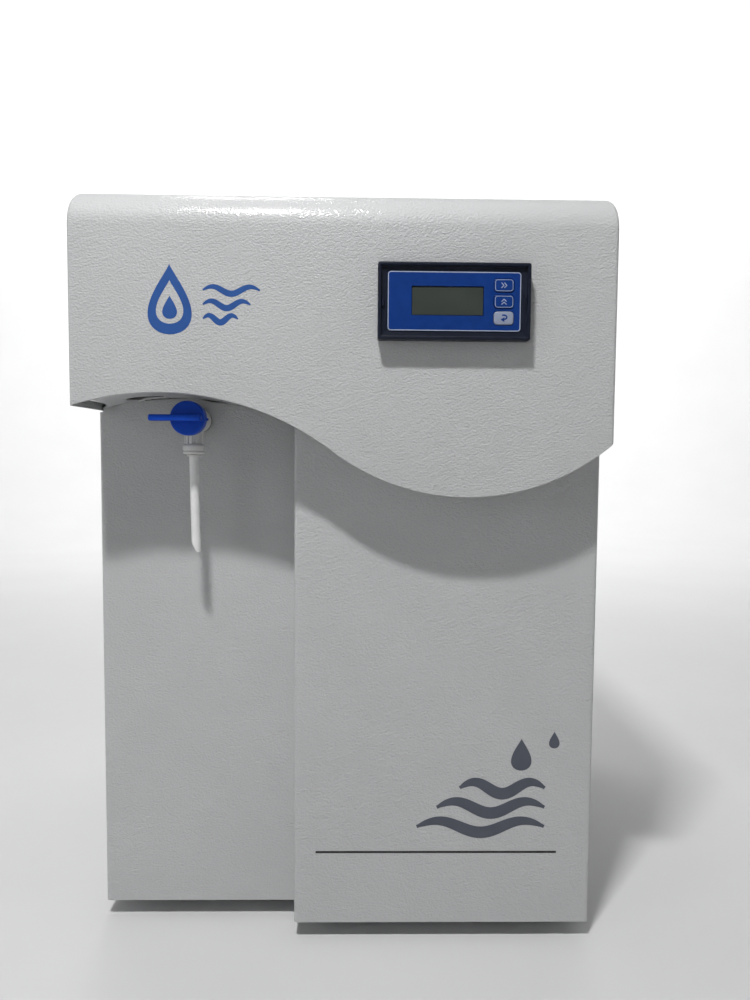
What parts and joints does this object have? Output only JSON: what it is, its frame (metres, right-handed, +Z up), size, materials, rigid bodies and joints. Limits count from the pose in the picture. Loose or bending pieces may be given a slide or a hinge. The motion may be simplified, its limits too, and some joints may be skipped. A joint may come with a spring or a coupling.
{
  "type": "benchtop water purifier",
  "caption": "Benchtop water purifier: white sheet-metal cabinet, overhanging head with a wave-shaped edge, panel meter, quarter-turn tap in a niche, rear water and mains connections.",
  "frame": {"origin": "under the middle of the whole machine, on the surface its feet stand on", "axes": "+X to the machine's right as seen from the front, +Y to the back, +Z up"},
  "size_m": [0.35, 0.4382, 0.512],
  "materials": {
    "powder_coat": "off-white powder coat with a fine orange peel",
    "zinc_steel": "zinc-plated sheet",
    "rubber": "matt black rubber",
    "black_plastic": "fine-textured near-black moulding",
    "blue_film": "blue printed film",
    "grey_key": "light grey printed film",
    "lcd_green": "blank grey-green display",
    "circuit_green": "green solder mask",
    "terminal_green": "green moulding",
    "blue_knob": "dark blue satin moulding",
    "white_plastic": "natural white moulding",
    "milky_hose": "milky tube",
    "motor_black": "black enamel",
    "polished_steel": "polished stainless steel"
  },
  "bodies": {
    "cabinet": {"hood": "powder_coat", "hood_soffit": "powder_coat", "niche_panel": "powder_coat", "front_panel": "powder_coat", "left_side_panel": "powder_coat", "right_side_panel": "powder_coat", "back_panel": "powder_coat", "base_tray": "zinc_steel", "chassis_frame": "zinc_steel", "filter_plate": "zinc_steel", "pump_bracket": "zinc_steel", "power_supply": "zinc_steel", "foot_left_front": "rubber", "foot_left_rear": "rubber", "foot_right_front": "rubber", "foot_right_rear": "rubber", "tap_gasket": "rubber", "meter_bezel": "black_plastic", "meter_case": "black_plastic", "meter_clamp": "black_plastic", "conductivity_probe": "black_plastic", "power_inlet": "black_plastic", "meter_faceplate": "blue_film", "lcd_panel": "lcd_green", "meter_board": "circuit_green", "control_board": "circuit_green", "meter_terminals": "terminal_green", "tap_body": "white_plastic", "tap_shank": "white_plastic", "tap_nut": "white_plastic", "spout_nut": "white_plastic", "spout_ring": "white_plastic", "sediment_cartridge": "white_plastic", "carbon_cartridge": "white_plastic", "polishing_cartridge": "white_plastic", "membrane_housing": "white_plastic", "clip_rail_low": "white_plastic", "clip_rail_high": "white_plastic", "membrane_clip": "white_plastic", "pump_head": "white_plastic", "solenoid_valve": "white_plastic", "probe_tee": "white_plastic", "feed_port": "white_plastic", "drain_port": "white_plastic", "tank_port": "white_plastic", "spout_tube": "milky_hose", "product_hose": "milky_hose", "feed_hose": "milky_hose", "drain_hose": "milky_hose", "pump_motor": "motor_black"},
    "tap_handle": {"tap_knob": "blue_knob", "valve_ball": "polished_steel"},
    "shift_button": {"key_shift": "blue_film"},
    "up_button": {"key_up": "blue_film"},
    "enter_button": {"key_enter": "grey_key"},
    "rocker": {"power_rocker": "black_plastic"},
    "tank_release": {"tank_collet": "white_plastic"},
    "feed_release": {"feed_collet": "white_plastic"},
    "drain_release": {"drain_collet": "white_plastic"}
  },
  "joints": [
    {"name": "tap_turn", "type": "hinge", "parent": "cabinet", "child": "tap_handle", "pos_m": [-0.1035, -0.19605, 0.3664], "axis": [0, -1, 0], "range_deg": [0, 90]},
    {"name": "shift_press", "type": "slide", "parent": "cabinet", "child": "shift_button", "axis": [0, 1, 0], "range_m": [0, 0.0005], "stiffness_N_per_m": 600},
    {"name": "up_press", "type": "slide", "parent": "cabinet", "child": "up_button", "axis": [0, 1, 0], "range_m": [0, 0.0005], "stiffness_N_per_m": 600},
    {"name": "enter_press", "type": "slide", "parent": "cabinet", "child": "enter_button", "axis": [0, 1, 0], "range_m": [0, 0.0005], "stiffness_N_per_m": 600},
    {"name": "tank_collet_slide", "type": "slide", "parent": "cabinet", "child": "tank_release", "axis": [0, -1, 0], "range_m": [0, 0.0012]},
    {"name": "feed_collet_slide", "type": "slide", "parent": "cabinet", "child": "feed_release", "axis": [0, -1, 0], "range_m": [0, 0.0012]},
    {"name": "drain_collet_slide", "type": "slide", "parent": "cabinet", "child": "drain_release", "axis": [0, -1, 0], "range_m": [0, 0.0012]},
    {"name": "rocker_rock", "type": "hinge", "parent": "cabinet", "child": "rocker", "pos_m": [0.105, 0.20145, 0.1305], "axis": [0, 0, -1], "range_deg": [0, 16]}
  ]
}
